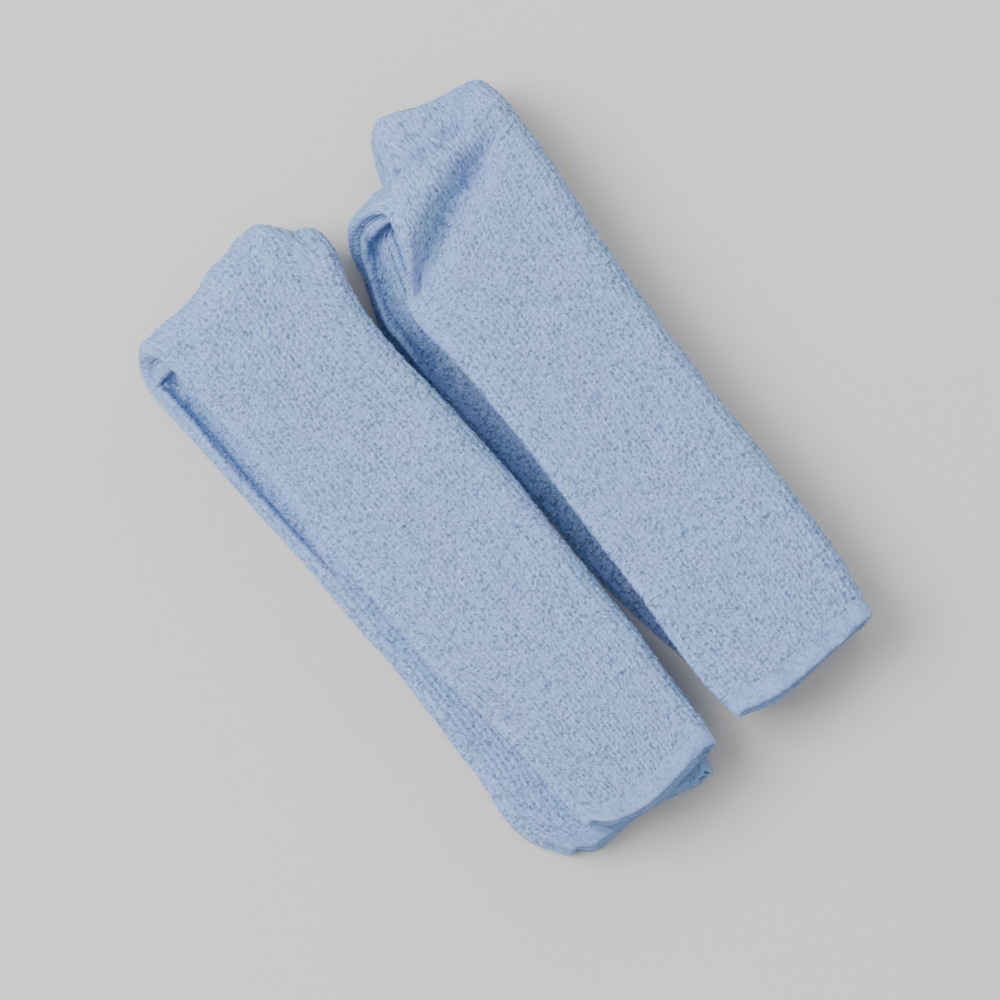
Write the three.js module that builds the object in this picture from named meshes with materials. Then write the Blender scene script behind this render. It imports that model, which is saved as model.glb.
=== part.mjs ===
// Two terry microfibre polishing cloths, each folded lengthwise into a strip
// and then once across, lying side by side. Millimetres, +Z up, +Y towards
// the folded ends, +X from the first cloth to the second.
//
// Each cloth is one square sheet with a hem all round. Folded in three and
// then in two it is a strip six plies thick, and the strip is folded in two
// across its length: the lower half lies on the table and the upper half
// lies on it, so the two end hems are side by side at the open end.
import * as THREE from 'three';

// ---- driving dimensions ----
const PLY = 2.0;              // one thickness of terry, pressed in the stack
const PLIES = 6;              // plies in one half
const FOLD_GAP = 1.2;         // from the plane between the halves to each half
const EDGE_ROUND = 5.5;       // how far the folded side edge rounds in
const LIP_ROUND = 2.6;        // the same for the two smaller folds opposite it
const BEND_TIP = 1.0;         // thickness left where a half meets the bend
const HEM_WIDTH = 6.6;        // turned and stitched band along every edge
const HEM_PLY = 1.6;          // a hem is pressed flatter than the terry
const HEM_GAP = 0.25;         // between two hem edges in the stack
const THREAD = 0.5;           // the stitched line stands this wide and high
const THREAD_INSET = 1.4;     // from the terry's end of the hem to the line
const CLEAR = 0.3;            // gap kept between neighbouring pieces
const SIDE_GAP = 1.2;         // between the two cloths at their folded ends
const SPREAD = 8;             // what that gap gains by the hems

// Widths are across the strip at its folded end and at its hem. The overhang
// is how far the lower half's open side passes the upper half's.
const CLOTH_A = {
  name: 'cloth_a',
  lower: { length: 207, bendWidth: 66, hemWidth: 61 },
  upper: { length: 204, bendWidth: 59, hemWidth: 48.5 },
  overhang: { bend: 7, hem: 12 },
};
const CLOTH_B = {
  name: 'cloth_b',
  lower: { length: 206, bendWidth: 68, hemWidth: 53 },
  upper: { length: 208, bendWidth: 61, hemWidth: 50.5 },
  overhang: { bend: 7, hem: 2.5 },
};

// ---- what follows from them ----
const HEM_PITCH = HEM_PLY + HEM_GAP;
const HEM_STACK = HEM_PITCH * (PLIES - 1) + HEM_PLY;
const THREAD_LIFT = CLEAR / 3;                // keeps the thread off the hem
const STACK = Math.max(PLY * PLIES, HEM_STACK + THREAD_LIFT + THREAD);
const MID = STACK + FOLD_GAP;                 // plane between the halves
const SLOT_HEIGHT = HEM_PLY + 2 * CLEAR;      // opening that holds the side hem
const SLOT_DEPTH = LIP_ROUND + HEM_WIDTH + 2 * CLEAR;
const ROUND_STEPS = 12;
const BEND_STEPS = 14;
const RUN_STEPS = 6;

const TERRY = { color: 0xa7bbd6, roughness: 0.96, metalness: 0 };
const HEM = { color: 0xa0b8d6, roughness: 0.9, metalness: 0 };
const STITCH = { color: 0xb6c8e0, roughness: 0.8, metalness: 0 };

// ---- helpers ----
const mix = (a, b, t) => a + (b - a) * t;

function node(name, geometry, finish) {
  const mesh = new THREE.Mesh(geometry, new THREE.MeshStandardMaterial(finish));
  mesh.name = name;
  return mesh;
}

// Closed skin through sections that stand across Y, listed towards +Y.
function loft(sections, stations) {
  const turned = THREE.ShapeUtils.isClockWise(sections[0]);
  const rings = sections.map((ring) => (turned ? [...ring].reverse() : ring));
  const count = rings[0].length;
  const position = [];
  rings.forEach((ring, k) => ring.forEach((p) => position.push(p.x, stations[k], p.y)));
  const index = [];
  for (let k = 0; k + 1 < rings.length; k += 1) {
    for (let i = 0; i < count; i += 1) {
      const here = k * count + i;
      const next = k * count + (i + 1) % count;
      index.push(here, here + count, next);
      index.push(next, here + count, next + count);
    }
  }
  const last = (rings.length - 1) * count;
  const nearCap = THREE.ShapeUtils.triangulateShape(rings[0], []);
  const farCap = THREE.ShapeUtils.triangulateShape(rings[rings.length - 1], []);
  nearCap.forEach(([a, b, c]) => index.push(a, b, c));
  farCap.forEach(([a, b, c]) => index.push(last + a, last + c, last + b));
  const geometry = new THREE.BufferGeometry();
  geometry.setAttribute('position', new THREE.Float32BufferAttribute(position, 3));
  geometry.setIndex(index);
  return geometry;
}

// A band of even thickness along a route.
function ribbon(route, thickness) {
  const left = [];
  const right = [];
  route.curves.forEach((curve) => {
    const steps = curve.isLineCurve ? 1 : ROUND_STEPS;
    for (let i = 0; i <= steps; i += 1) {
      const centre = curve.getPoint(i / steps);
      const along = curve.getTangent(i / steps);
      const across = new THREE.Vector2(-along.y, along.x).multiplyScalar(thickness / 2);
      const spot = centre.clone().add(across);
      const previous = left[left.length - 1];
      if (!previous || previous.distanceTo(spot) > thickness / 100) {
        left.push(spot);
        right.push(centre.clone().sub(across));
      }
    }
  });
  return new THREE.Shape([...left, ...right.reverse()]);
}

function alongY(shape, from, to) {
  const geometry = new THREE.ExtrudeGeometry(shape, { depth: to - from, bevelEnabled: false });
  geometry.rotateX(Math.PI / 2);
  geometry.translate(0, to, 0);
  return geometry;
}

// ---- one half of a folded cloth ----
// Heights in a half are counted from the plane between the halves outwards.
const heightOf = (half, out) => MID + half.up * out;

// Where the half's sides are at a place along its length.
function sidesAt(half, y) {
  const t = (y - half.hemEnd) / (half.bendEnd - half.hemEnd);
  return { left: mix(half.leftHem, half.leftBend, t), right: mix(half.rightHem, half.rightBend, t) };
}

// Section of the terry: a round folded edge on +X and, on -X, two smaller
// folds with the opening between them, squeezed into the given thickness.
function panelSection(half, y, reach) {
  const { left, right } = sidesAt(half, y);
  const slotLow = 0.5 - SLOT_HEIGHT / STACK / 2;
  const slotHigh = 0.5 + SLOT_HEIGHT / STACK / 2;
  const ring = [];
  const put = (x, v) => ring.push(new THREE.Vector2(x, heightOf(half, mix(FOLD_GAP, reach, v))));
  const halfRound = (x, run, low, high, from) => {
    for (let i = 0; i <= ROUND_STEPS; i += 1) {
      const angle = from + Math.PI * i / ROUND_STEPS;
      put(x + run * Math.cos(angle), (low + high) / 2 + (high - low) / 2 * Math.sin(angle));
    }
  };
  halfRound(right - EDGE_ROUND, EDGE_ROUND, 0, 1, -Math.PI / 2);
  halfRound(left + LIP_ROUND, LIP_ROUND, slotHigh, 1, Math.PI / 2);
  put(left + SLOT_DEPTH, slotHigh);
  put(left + SLOT_DEPTH, slotLow);
  halfRound(left + LIP_ROUND, LIP_ROUND, 0, slotLow, Math.PI / 2);
  return ring;
}

// The terry: straight from its hem, then a quarter turn up to the fold.
function panel(half) {
  const centre = half.bendEnd - MID;
  const start = half.hemEnd + HEM_WIDTH + CLEAR;
  const lastAngle = Math.acos((FOLD_GAP + BEND_TIP) / MID);
  const stations = [];
  const sections = [];
  const add = (y, reach) => {
    stations.push(y);
    sections.push(panelSection(half, y, reach));
  };
  for (let i = 0; i < RUN_STEPS; i += 1) add(mix(start, centre, i / RUN_STEPS), MID);
  for (let i = 0; i <= BEND_STEPS; i += 1) {
    const angle = lastAngle * i / BEND_STEPS;
    add(centre + MID * Math.sin(angle), MID * Math.cos(angle));
  }
  return loft(sections, stations);
}

// The route of the sheet through the six plies at its hem: one third in and
// back round the folded edge, the middle third round everything, and the last
// third between. Ply 0 is next to the other half.
function hemRoute(half) {
  const { left, right } = sidesAt(half, half.hemEnd + HEM_WIDTH);
  const near = left + HEM_PITCH + HEM_PLY / 2;
  const far = right - HEM_STACK / 2;
  const height = (ply) => heightOf(half, FOLD_GAP + HEM_PLY / 2 + HEM_PITCH * ply);
  const route = new THREE.CurvePath();
  let here = new THREE.Vector2(near + HEM_PITCH, height(4));
  const run = (x) => {
    const to = new THREE.Vector2(x, here.y);
    route.add(new THREE.LineCurve(here, to));
    here = to;
  };
  const turn = (ply, side) => {
    const to = new THREE.Vector2(here.x, height(ply));
    const rising = to.y > here.y;
    const radius = Math.abs(to.y - here.y) / 2;
    const from = rising ? -Math.PI / 2 : Math.PI / 2;
    const clockwise = rising !== (side > 0);
    route.add(new THREE.EllipseCurve(here.x, (here.y + to.y) / 2, radius, radius, from, -from, clockwise, 0));
    here = to;
  };
  run(far);
  turn(1, 1);
  run(near);
  turn(0, -1);
  run(far);
  turn(5, 1);
  run(near);
  turn(3, -1);
  run(far);
  turn(2, 1);
  run(near);
  return route;
}

// The hem across the free end is folded with the strip, so it shows six edges.
const endHem = (half) => alongY(ribbon(hemRoute(half), HEM_PLY), half.hemEnd, half.hemEnd + HEM_WIDTH);

// The stitched line across the outermost ply of the end hem.
function endStitch(half) {
  const { left, right } = sidesAt(half, half.hemEnd + HEM_WIDTH);
  const from = left + HEM_STACK / 2;
  const to = right - HEM_STACK / 2;
  const line = new THREE.BoxGeometry(to - from, THREAD, THREAD);
  const out = FOLD_GAP + HEM_STACK + THREAD_LIFT + THREAD / 2;
  line.translate((from + to) / 2, half.hemEnd + HEM_WIDTH - THREAD_INSET, heightOf(half, out));
  return line;
}

// The hem of the sheet's long edge lies in the opening on the open side.
function sideHem(half) {
  const stations = [half.hemEnd + HEM_WIDTH + CLEAR, half.bendEnd - MID];
  const sections = stations.map((y) => {
    const from = sidesAt(half, y).left + SLOT_DEPTH - CLEAR - HEM_WIDTH;
    const to = from + HEM_WIDTH;
    const low = heightOf(half, FOLD_GAP + (STACK - HEM_PLY) / 2);
    const high = heightOf(half, FOLD_GAP + (STACK + HEM_PLY) / 2);
    return [[from, low], [to, low], [to, high], [from, high]].map(([x, z]) => new THREE.Vector2(x, z));
  });
  return loft(sections, stations);
}

// ---- the two cloths ----
// The folded ends stand at y = 0 until the pair is centred.
function buildCloth(cloth, leftBend, leftHem) {
  const group = new THREE.Group();
  [['lower', -1, { bend: 0, hem: 0 }], ['upper', 1, cloth.overhang]].forEach(([part, up, inset]) => {
    const { length, bendWidth, hemWidth } = cloth[part];
    const half = {
      up,
      bendEnd: 0,
      hemEnd: -length,
      leftBend: leftBend + inset.bend,
      leftHem: leftHem + inset.hem,
      rightBend: leftBend + inset.bend + bendWidth,
      rightHem: leftHem + inset.hem + hemWidth,
    };
    const prefix = `${cloth.name}_${part}`;
    group.add(node(`${prefix}_panel`, panel(half), TERRY));
    group.add(node(`${prefix}_end_hem`, endHem(half), HEM));
    group.add(node(`${prefix}_end_stitch`, endStitch(half), STITCH));
    group.add(node(`${prefix}_side_hem`, sideHem(half), HEM));
  });
  return group;
}

// How far a cloth reaches past its lower half's open side, at its bend or hem.
const reachOf = (cloth, end) => Math.max(
  cloth.lower[`${end}Width`],
  cloth.overhang[end] + cloth.upper[`${end}Width`],
);

const set = new THREE.Group();
set.add(buildCloth(CLOTH_A, 0, 0));
const leftBendB = reachOf(CLOTH_A, 'bend') + SIDE_GAP;
const leftHemB = reachOf(CLOTH_A, 'hem') + SIDE_GAP + SPREAD;
set.add(buildCloth(CLOTH_B, leftBendB, leftHemB));

// The origin is on the table under the middle of the pair.
const centre = new THREE.Box3().setFromObject(set).getCenter(new THREE.Vector3());
set.position.set(-centre.x, -centre.y, 0);
set.updateMatrixWorld(true);

export default set;
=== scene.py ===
"""The looks of two folded terry microfibre polishing cloths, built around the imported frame.

Each cloth is one square sheet. It runs through six plies of a folded strip, and the strip runs
round one crosswise bend. The sheet, its hems and its stitching all take their places from the
same route through the plies, so they fit each other at every point of the fold.
"""

from __future__ import annotations

import sys

import logging
import math
from collections.abc import Callable, Sequence
from dataclasses import dataclass, field, replace
from enum import Enum
from typing import Any

import bpy
import numpy as np
from mathutils import Matrix, Vector


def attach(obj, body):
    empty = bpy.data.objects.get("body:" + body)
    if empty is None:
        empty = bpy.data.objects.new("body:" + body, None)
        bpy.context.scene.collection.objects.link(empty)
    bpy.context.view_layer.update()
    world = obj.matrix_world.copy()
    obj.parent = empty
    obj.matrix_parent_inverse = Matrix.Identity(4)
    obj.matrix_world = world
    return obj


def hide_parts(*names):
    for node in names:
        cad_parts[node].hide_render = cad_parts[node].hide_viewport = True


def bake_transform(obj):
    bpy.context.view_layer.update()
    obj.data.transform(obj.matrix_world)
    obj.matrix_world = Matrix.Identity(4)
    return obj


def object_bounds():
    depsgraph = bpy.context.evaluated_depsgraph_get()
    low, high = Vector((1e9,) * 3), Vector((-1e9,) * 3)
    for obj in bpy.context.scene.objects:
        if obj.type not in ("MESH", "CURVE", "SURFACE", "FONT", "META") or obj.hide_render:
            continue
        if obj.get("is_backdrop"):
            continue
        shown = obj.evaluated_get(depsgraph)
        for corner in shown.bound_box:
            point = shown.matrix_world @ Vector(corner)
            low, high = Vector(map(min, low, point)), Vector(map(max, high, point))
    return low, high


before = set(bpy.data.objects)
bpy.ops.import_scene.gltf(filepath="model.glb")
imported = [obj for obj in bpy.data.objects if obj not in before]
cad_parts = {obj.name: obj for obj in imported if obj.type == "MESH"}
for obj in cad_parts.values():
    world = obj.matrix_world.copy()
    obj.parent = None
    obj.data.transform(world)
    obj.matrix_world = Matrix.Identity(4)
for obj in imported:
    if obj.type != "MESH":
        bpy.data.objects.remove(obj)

MM = 0.001
HEM_WIDTH = 6.6 * MM     # turned band along every edge of a sheet
BACK = 0.05              # third number of a place on a sheet's back
LOG = logging.getLogger("cloths")
Array = np.ndarray
Colour = tuple[float, float, float, float]
Material = bpy.types.Material


# ---------------------------------------------------------------------------- small maths


def blend_between(a: Any, b: Any, share: Any) -> Any:
    """Value a at share 0 and value b at share 1."""
    return a + (b - a) * share


def ease(x: Any) -> Any:
    """A smooth step from 0 to 1 as x goes from 0 to 1."""
    x = np.clip(x, 0.0, 1.0)
    return x * x * (3.0 - 2.0 * x)


def ramp(x: Any, low: float, high: float) -> Any:
    """A smooth step from 0 at low to 1 at high."""
    return ease((x - low) / (high - low))


def hump(x: Any, centre: Any, reach: float) -> Any:
    """A smooth bump of height 1 at centre that fades out over reach."""
    return np.exp(-(((x - centre) / reach) ** 2))


@dataclass(frozen=True)
class SoftNoise:
    """Smooth seeded noise from -1 to 1, the same on every run.

    Args:
        seed: Picks the pattern.
        cell: Size of its features, in metres, one number for each axis.
    """

    seed: int
    cell: tuple[float, ...]

    SIDE = 64

    def __call__(self, *axes: Array) -> Array:
        """Works out the noise.

        Args:
            axes: Where the points are, one array for each axis.

        Returns:
            The noise at each point.
        """
        count = len(self.cell)
        table = np.random.default_rng(self.seed).uniform(-1.0, 1.0, (self.SIDE,) * count)
        scaled = [np.asarray(a) / c + self.SIDE / 2 for a, c in zip(axes, self.cell, strict=True)]
        base = [np.floor(a).astype(int) for a in scaled]
        part = [ease(a - b) for a, b in zip(scaled, base, strict=True)]
        total = np.zeros(np.broadcast(*axes).shape)
        for corner in range(2**count):
            bits = [(corner >> k) & 1 for k in range(count)]
            weight = np.ones_like(total)
            for bit, p in zip(bits, part, strict=True):
                weight = weight * (p if bit else 1.0 - p)
            spot = tuple((b + bit) % self.SIDE for b, bit in zip(base, bits, strict=True))
            total += weight * table[spot]
        return total


@dataclass(frozen=True)
class Curve:
    """A smooth curve through knots, level beyond the first and the last.

    Each knot is a place and a value in millimetres. Calling the curve returns metres.
    """

    knots: tuple[tuple[float, float], ...]

    def __call__(self, at: Array) -> Array:
        """Works out the curve.

        Args:
            at: Places along it.

        Returns:
            Its value at each place, in metres.
        """
        place, value = np.array(self.knots, float).T
        slope = np.gradient(value, place)
        at = np.clip(at, place[0], place[-1])
        i = np.clip(np.searchsorted(place, at) - 1, 0, len(place) - 2)
        gap = place[i + 1] - place[i]
        t = (at - place[i]) / gap
        rise = value[i + 1] - value[i]
        start, end = slope[i] * gap, slope[i + 1] * gap
        square = 3 * rise - 2 * start - end
        cube = start + end - 2 * rise
        return (value[i] + t * (start + t * (square + t * cube))) * MM


# ---------------------------------------------------------------------------- shaders


class Wire:
    """A node's output, so that shader maths reads as Python."""

    def __init__(self, graph: Graph, socket: bpy.types.NodeSocket | None) -> None:
        """Keeps the socket and the graph that it belongs to."""
        self.graph = graph
        self.socket = socket

    def _math(self, operation: str, first: Value, second: Value) -> Wire:
        """Adds one Math node."""
        return self.graph.node("ShaderNodeMath", {"operation": operation}, {0: first, 1: second})

    def __add__(self, other: Value) -> Wire:
        """self + other."""
        return self._math("ADD", self, other)

    __radd__ = __add__

    def __sub__(self, other: Value) -> Wire:
        """self - other."""
        return self._math("SUBTRACT", self, other)

    def __rsub__(self, other: Value) -> Wire:
        """other - self."""
        return self._math("SUBTRACT", other, self)

    def __mul__(self, other: Value) -> Wire:
        """self * other."""
        return self._math("MULTIPLY", self, other)

    __rmul__ = __mul__


Value = Wire | float | tuple[float, ...]


class Graph:
    """The node tree of one material."""

    def __init__(self, name: str) -> None:
        """Starts a material with a bare output."""
        self.material = bpy.data.materials.new(name)
        self.material.use_nodes = True
        self.tree = self.material.node_tree
        self.tree.nodes.clear()

    def node(
        self,
        kind: str,
        settings: dict[str, Any] | None = None,
        inputs: dict[int | str, Value] | None = None,
        output: int | str = 0,
    ) -> Wire:
        """Adds a node.

        Args:
            kind: Blender's name of the node type.
            settings: The node's own properties, set first.
            inputs: Values or links of its sockets, by index or name.
            output: Which output the returned wire is.

        Returns:
            The chosen output.
        """
        made = self.tree.nodes.new(kind)
        for key, value in (settings or {}).items():
            setattr(made, key, value)
        for key, value in (inputs or {}).items():
            if isinstance(value, Wire):
                self.tree.links.new(value.socket, made.inputs[key])
            else:
                made.inputs[key].default_value = value
        return Wire(self, made.outputs[output] if made.outputs else None)

    def attribute(self, name: str, output: str) -> Wire:
        """Reads a mesh attribute."""
        return self.node("ShaderNodeAttribute", {"attribute_name": name}, output=output)

    def noise(self, where: Wire, scale: float, detail: float = 2.0) -> Wire:
        """Noise from 0 to 1 with its features 1 / scale apart."""
        inputs = {"Vector": where, "Scale": scale, "Detail": detail}
        return self.node("ShaderNodeTexNoise", inputs=inputs)

    def spots(self, where: Wire, scale: float, kind: str = "F1") -> Wire:
        """Distance from the middle of the nearest of many scattered spots."""
        inputs = {"Vector": where, "Scale": scale}
        return self.node("ShaderNodeTexVoronoi", {"feature": kind}, inputs)

    def stretch(self, where: Wire, factors: tuple[float, float, float]) -> Wire:
        """Multiplies a vector, axis by axis."""
        return self.node("ShaderNodeVectorMath", {"operation": "MULTIPLY"}, {0: where, 1: factors})

    def band(self, value: Wire, low: float, high: float) -> Wire:
        """0 below low, 1 above high and smooth between."""
        settings = {"interpolation_type": "SMOOTHSTEP"}
        return self.node("ShaderNodeMapRange", settings, {0: value, 1: low, 2: high})

    def mix(self, share: Value, first: Value, second: Value) -> Wire:
        """Mixes two colours."""
        settings = {"data_type": "RGBA", "blend_type": "MIX"}
        return self.node("ShaderNodeMix", settings, {0: share, 6: first, 7: second}, output=2)

    def bump(self, height: Wire, distance: float, strength: float) -> Wire:
        """A normal from a height."""
        inputs = {"Height": height, "Distance": distance, "Strength": strength}
        return self.node("ShaderNodeBump", inputs=inputs)

    def surface(self, inputs: dict[int | str, Value]) -> Material:
        """Ends the graph with one Principled shader and returns the material."""
        shader = self.node("ShaderNodeBsdfPrincipled", inputs=inputs)
        self.node("ShaderNodeOutputMaterial", inputs={"Surface": shader})
        return self.material


@dataclass(frozen=True)
class TerryFinish:
    """Looped microfibre pile: matte, with painted shade in the pits and small holes between the
    loops.

    across and lengthwise are the distances between the small hollows of the pile. The scales are in
    features per metre: strands, their fibres, clumps of loops, patches of clumps and the slow
    change of tint over the cloth. The darkest colour is painted shade in the pits and holes between
    loops and cords, and a little of it also darkens the fibre grain. The palest base colour is a
    painted highlight on the tops of some loops.
    """

    across: float = 1.1 * MM
    lengthwise: float = 1.45 * MM
    strand_scale: float = 1500.0
    fibre_scale: float = 3800.0
    clump_scale: float = 560.0
    patch_scale: float = 170.0
    tint_scale: float = 46.0
    loop: Colour = (0.270, 0.420, 0.765, 1.0)
    # Painted shade for the pits and holes between loops and cords; a little of it also darkens the
    # fibre grain.
    pit_shade_and_mottle: Colour = (0.085, 0.140, 0.260, 1.0)
    # Painted highlight: the colour of glints on the tops of some loops.
    painted_glint: Colour = (0.540, 0.690, 0.960, 1.0)
    cool: Colour = (0.230, 0.436, 0.730, 1.0)
    warm: Colour = (0.312, 0.405, 0.795, 1.0)
    roughness: float = 0.95
    sheen: float = 0.08
    sheen_tint: Colour = (0.60, 0.78, 1.0, 1.0)
    modelled_share: float = 0.35
    depth: float = 0.42 * MM

    def material(self, row: float, pitch: float) -> Material:
        """Builds the finish.

        Args:
            row: Distance between the rows of loops.
            pitch: Distance between loops along a row.

        Returns:
            The material.
        """
        g = Graph("terry")
        lay = g.attribute("lay", "Vector")
        height = g.attribute("pile", "Fac")
        modelled = g.attribute("modelled", "Fac")
        grid = g.stretch(lay, (1 / row, 1 / pitch, 1.0))
        near = {"Vector": grid, "Scale": 1.25, "Randomness": 0.75}
        from_loop = g.node("ShaderNodeTexVoronoi", {"feature": "F1"}, near)
        tone = g.node("ShaderNodeTexVoronoi", {"feature": "F1"}, near, output="Color")
        drawn = 1.0 - g.band(from_loop, 0.05, 0.70)
        share = self.modelled_share
        loops = height * modelled * share + drawn * (1.0 - modelled * share)
        strand = g.noise(g.stretch(lay, (1.0, 0.6, 1.0)), self.strand_scale)
        fibre = g.noise(g.stretch(lay, (1.0, 0.55, 1.0)), self.fibre_scale, 3.0)
        clump = g.noise(lay, self.clump_scale)
        patch = g.noise(lay, self.patch_scale)
        shade = g.noise(lay, self.tint_scale)
        tint = g.mix(g.band(shade, 0.36, 0.64), self.cool, self.warm)
        tint = g.mix(0.5, tint, self.loop)
        grain = strand * 0.6 + fibre * 0.4
        tint = g.mix(g.band(grain, 0.40, 0.62) * 0.55, g.mix(0.30, tint, self.pit_shade_and_mottle), tint)
        # Painted shade: where the pile stands low, between loops and between cords, patches are
        # darkened.
        pit_shade_mask = (1.0 - g.band(loops, 0.04, 0.30)) * g.band(clump * 0.7 + patch * 0.3, 0.36, 0.60)
        colour = g.mix(pit_shade_mask * 0.8, tint, self.pit_shade_and_mottle)
        cells = g.stretch(lay, (1 / self.across, 1 / self.lengthwise, 1.0))
        uneven = g.band(patch * 0.5 + clump * 0.5, 0.36, 0.50)
        # Small holes in the pile: dented by the bump below and darkened with painted shade.
        hole_dent_and_shade = (1.0 - g.band(g.spots(cells, 1.0), 0.18, 0.46)) * uneven
        colour = g.mix(hole_dent_and_shade * 0.62, colour, self.pit_shade_and_mottle)
        # Painted highlight: pale glints on the tops of some loops, kept off the holes.
        glint = (1.0 - g.band(g.spots(cells, 1.37), 0.12, 0.44)) * g.band(tone, 0.2, 0.6)
        colour = g.mix(glint * (1.0 - hole_dent_and_shade) * 0.55, colour, self.painted_glint)
        relief = fibre * 0.25 + strand * 0.4 + drawn * 0.7 - hole_dent_and_shade * 0.5
        return g.surface(
            {
                "Base Color": colour,
                "Roughness": self.roughness,
                "Specular IOR Level": 0.1,
                "Sheen Weight": self.sheen,
                "Sheen Roughness": 0.45,
                "Sheen Tint": self.sheen_tint,
                "Normal": g.bump(relief, self.depth, 0.7),
            }
        )


@dataclass(frozen=True)
class HemFinish:
    """The turned edge: the same yarn knitted flat, with fine ribs and no loops.

    rib is the distance between ribs, and the scales are in features per metre. The grooves between
    ribs are darkened with painted shade.
    """

    colour: Colour = (0.250, 0.388, 0.690, 1.0)
    shadow: Colour = (0.185, 0.302, 0.580, 1.0)
    # Painted shade for the grooves between the ribs; mixed in, it also darkens random clumps.
    pit_shade_and_mottle: Colour = (0.110, 0.185, 0.350, 1.0)
    roughness: float = 0.9
    rib: float = 0.9 * MM
    fibre_scale: float = 3000.0
    patch_scale: float = 160.0
    clump_scale: float = 700.0
    depth: float = 0.4 * MM

    def material(self) -> Material:
        """Builds the finish."""
        g = Graph("hem")
        lay = g.attribute("lay", "Vector")
        knit = g.spots(g.stretch(lay, (1 / self.rib, 0.7 / self.rib, 1.0)), 1.0, "SMOOTH_F1")
        fibre = g.noise(lay, self.fibre_scale, 3.0)
        patch = g.noise(lay, self.patch_scale)
        clump = g.noise(lay, self.clump_scale)
        colour = g.mix(g.band(patch * 0.6 + fibre * 0.4, 0.35, 0.62), self.shadow, self.colour)
        colour = g.mix(g.band(clump, 0.34, 0.48), g.mix(0.55, colour, self.pit_shade_and_mottle), colour)
        # Painted shade: the grooves between the knitted ribs darkened.
        colour = g.mix(g.band(knit, 0.45, 0.75) * 0.45, colour, self.pit_shade_and_mottle)
        normal = g.bump(fibre * 0.4 + clump * 0.8 - knit * 0.5, self.depth, 0.8)
        return g.surface(
            {
                "Base Color": colour,
                "Roughness": self.roughness,
                "Specular IOR Level": 0.2,
                "Sheen Weight": 0.1,
                "Sheen Roughness": 0.5,
                "Normal": normal,
            }
        )


@dataclass(frozen=True)
class ThreadFinish:
    """Twisted sewing thread with a faint gloss and painted shade between its strands; twist is its
    turns per metre.
    """

    colour: Colour = (0.42, 0.54, 0.72, 1.0)
    # Painted shade: the colour of the grooves between the twisted strands.
    twist_groove_shade: Colour = (0.25, 0.36, 0.54, 1.0)
    twist: float = 900.0
    depth: float = 0.08 * MM

    def material(self) -> Material:
        """Builds the finish."""
        g = Graph("thread")
        lay = g.attribute("lay", "Vector")
        inputs = {"Vector": lay, "Scale": self.twist, "Distortion": 1.5}
        strands = g.node("ShaderNodeTexWave", {"bands_direction": "DIAGONAL"}, inputs)
        # Painted shade: the grooves between the strands darkened along the twist.
        colour = g.mix(g.band(strands, 0.2, 0.8), self.twist_groove_shade, self.colour)
        normal = g.bump(strands, self.depth, 0.6)
        return g.surface(
            {
                "Base Color": colour,
                "Roughness": 0.62,
                "Specular IOR Level": 0.35,
                "Sheen Weight": 0.1,
                "Normal": normal,
            }
        )


@dataclass(frozen=True)
class PaperFinish:
    """The plain pale surface that the pair lies on, with a faint mottle."""

    colour: Colour = (0.60, 0.59, 0.565, 1.0)
    mottled: Colour = (0.57, 0.562, 0.545, 1.0)

    def material(self) -> Material:
        """Builds the finish."""
        g = Graph("paper")
        place = g.node("ShaderNodeTexCoord", output="Object")
        mottle = g.band(g.noise(place, 3.0, 2.0), 0.2, 0.8)
        colour = g.mix(mottle * 0.5, self.colour, self.mottled)
        return g.surface({"Base Color": colour, "Roughness": 0.8, "Specular IOR Level": 0.2})


# ---------------------------------------------------------------------------- the route of a sheet


class Zone(Enum):
    """How closely a stretch of the sheet is modelled along its length."""

    FULL = "full"      # seen everywhere
    TOP = "top"        # seen on the upper half and round the bend
    LEDGE = "ledge"    # seen on the lower half
    INNER = "inner"    # between the halves, seen when they open
    HIDDEN = "hidden"  # between plies


class End(Enum):
    """The two sides of a folded strip."""

    OPEN = -1    # two smaller folds with the opening between them
    FOLDED = 1   # one round edge that holds all three thirds


class Part(Enum):
    """The two halves of a bundle, as its bodies are named."""

    LOWER = "lower"
    UPPER = "upper"


@dataclass
class Columns:
    """Lines that run along the sheet, one entry for each.

    share and shift place a line across the strip: share of the way from the open side's turning
    centre to the folded side's, plus a fixed shift. out is its height above the plane between the
    halves, and (across, outward) is the direction that its front faces. place is its distance
    across the flat sheet. sparse lines are kept on the plain back, and cord says how far the pile
    is pulled into cords there.
    """

    share: list[float] = field(default_factory=list)
    shift: list[float] = field(default_factory=list)
    out: list[float] = field(default_factory=list)
    across: list[float] = field(default_factory=list)
    outward: list[float] = field(default_factory=list)
    place: list[float] = field(default_factory=list)
    zone: list[Zone] = field(default_factory=list)
    sparse: list[bool] = field(default_factory=list)
    cord: list[float] = field(default_factory=list)

    def add(self, entry: Sequence[float], zone: Zone, sparse: bool) -> None:
        """Adds one line.

        Args:
            entry: share, shift, out, across, outward, place and cord, in that order.
            zone: How closely it is modelled.
            sparse: Whether the back has it too.
        """
        lists = (self.share, self.shift, self.out, self.across, self.outward, self.place, self.cord)
        for values, value in zip(lists, entry, strict=True):
            values.append(value)
        self.zone.append(zone)
        self.sparse.append(sparse)

    def at(self, place: Array) -> tuple[Array, ...]:
        """Finds lines between the ones that were added.

        Args:
            place: Distances across the flat sheet.

        Returns:
            share, shift, out, across and outward there.
        """
        lists = (self.share, self.shift, self.out, self.across, self.outward)
        return tuple(np.interp(place, self.place, values) for values in lists)


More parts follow.
